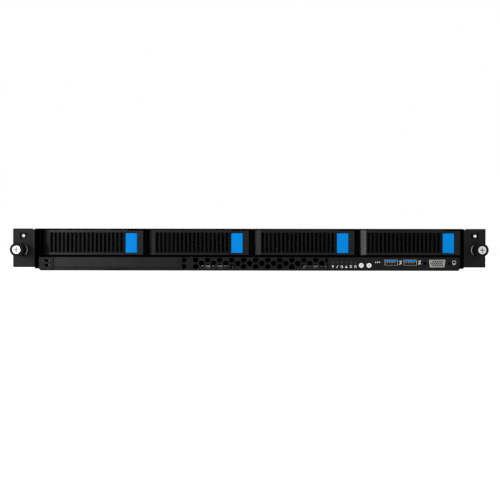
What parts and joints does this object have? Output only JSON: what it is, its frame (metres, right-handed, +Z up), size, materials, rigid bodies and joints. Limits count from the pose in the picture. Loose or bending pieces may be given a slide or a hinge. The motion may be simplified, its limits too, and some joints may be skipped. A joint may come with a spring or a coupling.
{
  "type": "1u rack server",
  "caption": "One-unit rack server with hinged-lever drive carriers, vented lower row, front sockets, captive rack screws, fans and slide-in power supplies.",
  "frame": {"origin": "centre of the base, midway between the thumbscrew heads and the power supply handles", "axes": "+Z up, front faces -Y, +X to the right seen from the front"},
  "size_m": [0.4826, 0.6922, 0.043],
  "materials": {
    "black_steel": "satin powder coat",
    "cage_steel": "dark coated sheet",
    "plated_steel": "zinc plated sheet",
    "bright_steel": "turned and polished",
    "nickel": "nickel plated shell",
    "carrier_plastic": "fine spark texture",
    "panel_plastic": "fine spark texture",
    "knob_plastic": "knurled black",
    "tab_blue": "semi-gloss blue",
    "insert_plastic": "moulded insert",
    "button_white": "semi-gloss white",
    "light_pipe": "clear moulded",
    "circuit_board": "solder mask",
    "memory_board": "solder mask with black chips",
    "aluminium": "milled and cast",
    "fan_plastic": "moulded black",
    "latch_plastic": "semi-gloss blue"
  },
  "bodies": {
    "chassis": {"chassis_tray": "black_steel", "rear_panel": "plated_steel", "drive_cage": "cage_steel", "front_top_cover": "black_steel", "left_ear": "black_steel", "right_ear": "black_steel", "ear_latch_plates": "bright_steel", "screw_ferrules": "bright_steel", "front_left_bracket": "black_steel", "slim_bay_blank": "panel_plastic", "vent_panel": "black_steel", "io_panel": "black_steel", "front_io_board": "circuit_board", "socket_shells": "nickel", "socket_inserts": "insert_plastic", "status_lights": "light_pipe", "backplane": "circuit_board", "fan_wall": "plated_steel", "fan_housings": "fan_plastic", "motherboard": "circuit_board", "heatsinks": "aluminium", "memory_modules": "memory_board", "rear_connectors": "nickel", "power_board": "circuit_board"},
    "top_cover": {"top_cover": "black_steel"},
    "left_retainer": {"left_screw_retainer": "bright_steel"},
    "left_screw": {"left_thumbscrew": "bright_steel", "left_screw_knob": "knob_plastic"},
    "right_retainer": {"right_screw_retainer": "bright_steel"},
    "right_screw": {"right_thumbscrew": "bright_steel", "right_screw_knob": "knob_plastic"},
    "power_button": {"power_button": "button_white"},
    "identify_button": {"identify_button": "button_white"},
    "reset_button": {"reset_button": "knob_plastic"},
    "carrier_1": {"carrier_1": "carrier_plastic", "drive_1": "aluminium"},
    "lever_1": {"carrier_lever_1": "carrier_plastic"},
    "tab_1": {"release_tab_1": "tab_blue"},
    "carrier_2": {"carrier_2": "carrier_plastic", "drive_2": "aluminium"},
    "lever_2": {"carrier_lever_2": "carrier_plastic"},
    "tab_2": {"release_tab_2": "tab_blue"},
    "carrier_3": {"carrier_3": "carrier_plastic", "drive_3": "aluminium"},
    "lever_3": {"carrier_lever_3": "carrier_plastic"},
    "tab_3": {"release_tab_3": "tab_blue"},
    "carrier_4": {"carrier_4": "carrier_plastic", "drive_4": "aluminium"},
    "lever_4": {"carrier_lever_4": "carrier_plastic"},
    "tab_4": {"release_tab_4": "tab_blue"},
    "fan_rotor_1": {"fan_rotor_1": "fan_plastic"},
    "fan_rotor_2": {"fan_rotor_2": "fan_plastic"},
    "fan_rotor_3": {"fan_rotor_3": "fan_plastic"},
    "fan_rotor_4": {"fan_rotor_4": "fan_plastic"},
    "supply_1": {"power_supply_1": "plated_steel"},
    "supply_latch_1": {"supply_latch_1": "latch_plastic"},
    "supply_rotor_1": {"supply_rotor_1": "fan_plastic"},
    "supply_2": {"power_supply_2": "plated_steel"},
    "supply_latch_2": {"supply_latch_2": "latch_plastic"},
    "supply_rotor_2": {"supply_rotor_2": "fan_plastic"}
  },
  "joints": [
    {"name": "top_cover_slide", "type": "slide", "parent": "chassis", "child": "top_cover", "axis": [0, 1, 0], "range_m": [0, 0.012]},
    {"name": "left_screw_advance", "type": "slide", "parent": "chassis", "child": "left_retainer", "axis": [0, -1, 0], "range_m": [0, 0.005]},
    {"name": "left_screw_turn", "type": "hinge", "parent": "left_retainer", "child": "left_screw", "pos_m": [-0.23255, -0.3255, 0.0213], "axis": [0, -1, 0], "range_deg": [0, 2250]},
    {"name": "right_screw_advance", "type": "slide", "parent": "chassis", "child": "right_retainer", "axis": [0, -1, 0], "range_m": [0, 0.005]},
    {"name": "right_screw_turn", "type": "hinge", "parent": "right_retainer", "child": "right_screw", "pos_m": [0.23255, -0.3255, 0.0213], "axis": [0, -1, 0], "range_deg": [0, 2250]},
    {"name": "power_button_press", "type": "slide", "parent": "chassis", "child": "power_button", "axis": [0, 1, 0], "range_m": [0, 0.0008], "stiffness_N_per_m": 500},
    {"name": "identify_button_press", "type": "slide", "parent": "chassis", "child": "identify_button", "axis": [0, 1, 0], "range_m": [0, 0.0008], "stiffness_N_per_m": 500},
    {"name": "reset_button_press", "type": "slide", "parent": "chassis", "child": "reset_button", "axis": [0, 1, 0], "range_m": [0, 0.0005], "stiffness_N_per_m": 400},
    {"name": "drive_1_slide", "type": "slide", "parent": "chassis", "child": "carrier_1", "axis": [0, -1, 0], "range_m": [0, 0.15]},
    {"name": "lever_1_swing", "type": "hinge", "parent": "carrier_1", "child": "lever_1", "pos_m": [-0.2043, -0.318, 0.02895], "axis": [0, 0, -1], "range_deg": [0, 50]},
    {"name": "tab_1_press", "type": "slide", "parent": "carrier_1", "child": "tab_1", "axis": [0, 1, 0], "range_m": [0, 0.0015], "stiffness_N_per_m": 400},
    {"name": "drive_2_slide", "type": "slide", "parent": "chassis", "child": "carrier_2", "axis": [0, -1, 0], "range_m": [0, 0.15]},
    {"name": "lever_2_swing", "type": "hinge", "parent": "carrier_2", "child": "lever_2", "pos_m": [-0.0964, -0.318, 0.02895], "axis": [0, 0, -1], "range_deg": [0, 50]},
    {"name": "tab_2_press", "type": "slide", "parent": "carrier_2", "child": "tab_2", "axis": [0, 1, 0], "range_m": [0, 0.0015], "stiffness_N_per_m": 400},
    {"name": "drive_3_slide", "type": "slide", "parent": "chassis", "child": "carrier_3", "axis": [0, -1, 0], "range_m": [0, 0.15]},
    {"name": "lever_3_swing", "type": "hinge", "parent": "carrier_3", "child": "lever_3", "pos_m": [0.0115, -0.318, 0.02895], "axis": [0, 0, -1], "range_deg": [0, 50]},
    {"name": "tab_3_press", "type": "slide", "parent": "carrier_3", "child": "tab_3", "axis": [0, 1, 0], "range_m": [0, 0.0015], "stiffness_N_per_m": 400},
    {"name": "drive_4_slide", "type": "slide", "parent": "chassis", "child": "carrier_4", "axis": [0, -1, 0], "range_m": [0, 0.15]},
    {"name": "lever_4_swing", "type": "hinge", "parent": "carrier_4", "child": "lever_4", "pos_m": [0.1194, -0.318, 0.02895], "axis": [0, 0, -1], "range_deg": [0, 50]},
    {"name": "tab_4_press", "type": "slide", "parent": "carrier_4", "child": "tab_4", "axis": [0, 1, 0], "range_m": [0, 0.0015], "stiffness_N_per_m": 400},
    {"name": "fan_1_spin", "type": "hinge", "parent": "chassis", "child": "fan_rotor_1", "pos_m": [-0.15, -0.0979, 0.0217], "axis": [0, 1, 0], "continuous": true},
    {"name": "fan_2_spin", "type": "hinge", "parent": "chassis", "child": "fan_rotor_2", "pos_m": [-0.05, -0.0979, 0.0217], "axis": [0, 1, 0], "continuous": true},
    {"name": "fan_3_spin", "type": "hinge", "parent": "chassis", "child": "fan_rotor_3", "pos_m": [0.05, -0.0979, 0.0217], "axis": [0, 1, 0], "continuous": true},
    {"name": "fan_4_spin", "type": "hinge", "parent": "chassis", "child": "fan_rotor_4", "pos_m": [0.15, -0.0979, 0.0217], "axis": [0, 1, 0], "continuous": true},
    {"name": "supply_1_slide", "type": "slide", "parent": "chassis", "child": "supply_1", "axis": [0, 1, 0], "range_m": [0, 0.17]},
    {"name": "supply_latch_1_press", "type": "slide", "parent": "supply_1", "child": "supply_latch_1", "axis": [-1, 0, 0], "range_m": [0, 0.002], "stiffness_N_per_m": 600},
    {"name": "supply_fan_1_spin", "type": "hinge", "parent": "supply_1", "child": "supply_rotor_1", "pos_m": [-0.1925, 0.3241, 0.02135], "axis": [0, 1, 0], "continuous": true},
    {"name": "supply_2_slide", "type": "slide", "parent": "chassis", "child": "supply_2", "axis": [0, 1, 0], "range_m": [0, 0.17]},
    {"name": "supply_latch_2_press", "type": "slide", "parent": "supply_2", "child": "supply_latch_2", "axis": [-1, 0, 0], "range_m": [0, 0.002], "stiffness_N_per_m": 600},
    {"name": "supply_fan_2_spin", "type": "hinge", "parent": "supply_2", "child": "supply_rotor_2", "pos_m": [-0.1184, 0.3241, 0.02135], "axis": [0, 1, 0], "continuous": true}
  ],
  "couplings": [
    {"joint": "left_screw_advance", "follows": "left_screw_turn", "m_per_rad": 0.0001273},
    {"joint": "right_screw_advance", "follows": "right_screw_turn", "m_per_rad": 0.0001273}
  ]
}
